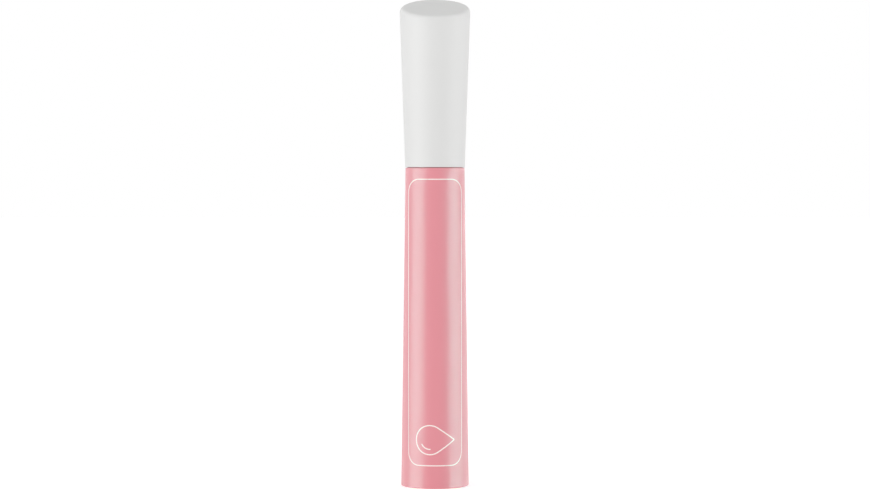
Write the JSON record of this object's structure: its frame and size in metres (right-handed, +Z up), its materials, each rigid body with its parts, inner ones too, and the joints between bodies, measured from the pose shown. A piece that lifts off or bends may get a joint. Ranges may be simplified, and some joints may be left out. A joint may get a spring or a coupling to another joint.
{
  "type": "nail oil pen",
  "caption": "Slim upright brush pen for nail oil: tapered sleeve round a vial, with a flared slant-topped screw cap that carries the dip-in brush.",
  "frame": {"origin": "centre of the foot, on the surface that the pen stands on", "axes": "+Z up the pen to the cap, -Y towards the printed front and the low side of the slanting crown, +X to the right as seen from the front"},
  "size_m": [0.0168, 0.0168, 0.1164],
  "materials": {
    "sleeve_plastic": "satin",
    "plug_plastic": "matte",
    "vial_plastic": "gloss",
    "oil": "gloss",
    "wiper_plastic": "satin",
    "seal_foam": "matte",
    "cap_plastic": "satin",
    "insert_plastic": "satin",
    "stem_plastic": "satin",
    "anchor_metal": "satin",
    "bristle": "satin"
  },
  "bodies": {
    "bottle": {"outer_sleeve": "sleeve_plastic", "base_plug": "plug_plastic", "inner_vial": "vial_plastic", "nail_oil": "oil", "wiper": "wiper_plastic"},
    "seal": {"seal_ring": "seal_foam"},
    "cap": {"cap_shell": "cap_plastic", "cap_insert": "insert_plastic", "stem": "stem_plastic", "brush_anchor": "anchor_metal", "brush_tuft": "bristle"}
  },
  "joints": [
    {"name": "cap_lift", "type": "slide", "parent": "bottle", "child": "seal", "axis": [0, 0, 1], "range_m": [0, 0.08]},
    {"name": "cap_turn", "type": "hinge", "parent": "seal", "child": "cap", "pos_m": [0, 0, 0.0893], "axis": [0, 0, 1], "range_deg": [0, 540]}
  ]
}
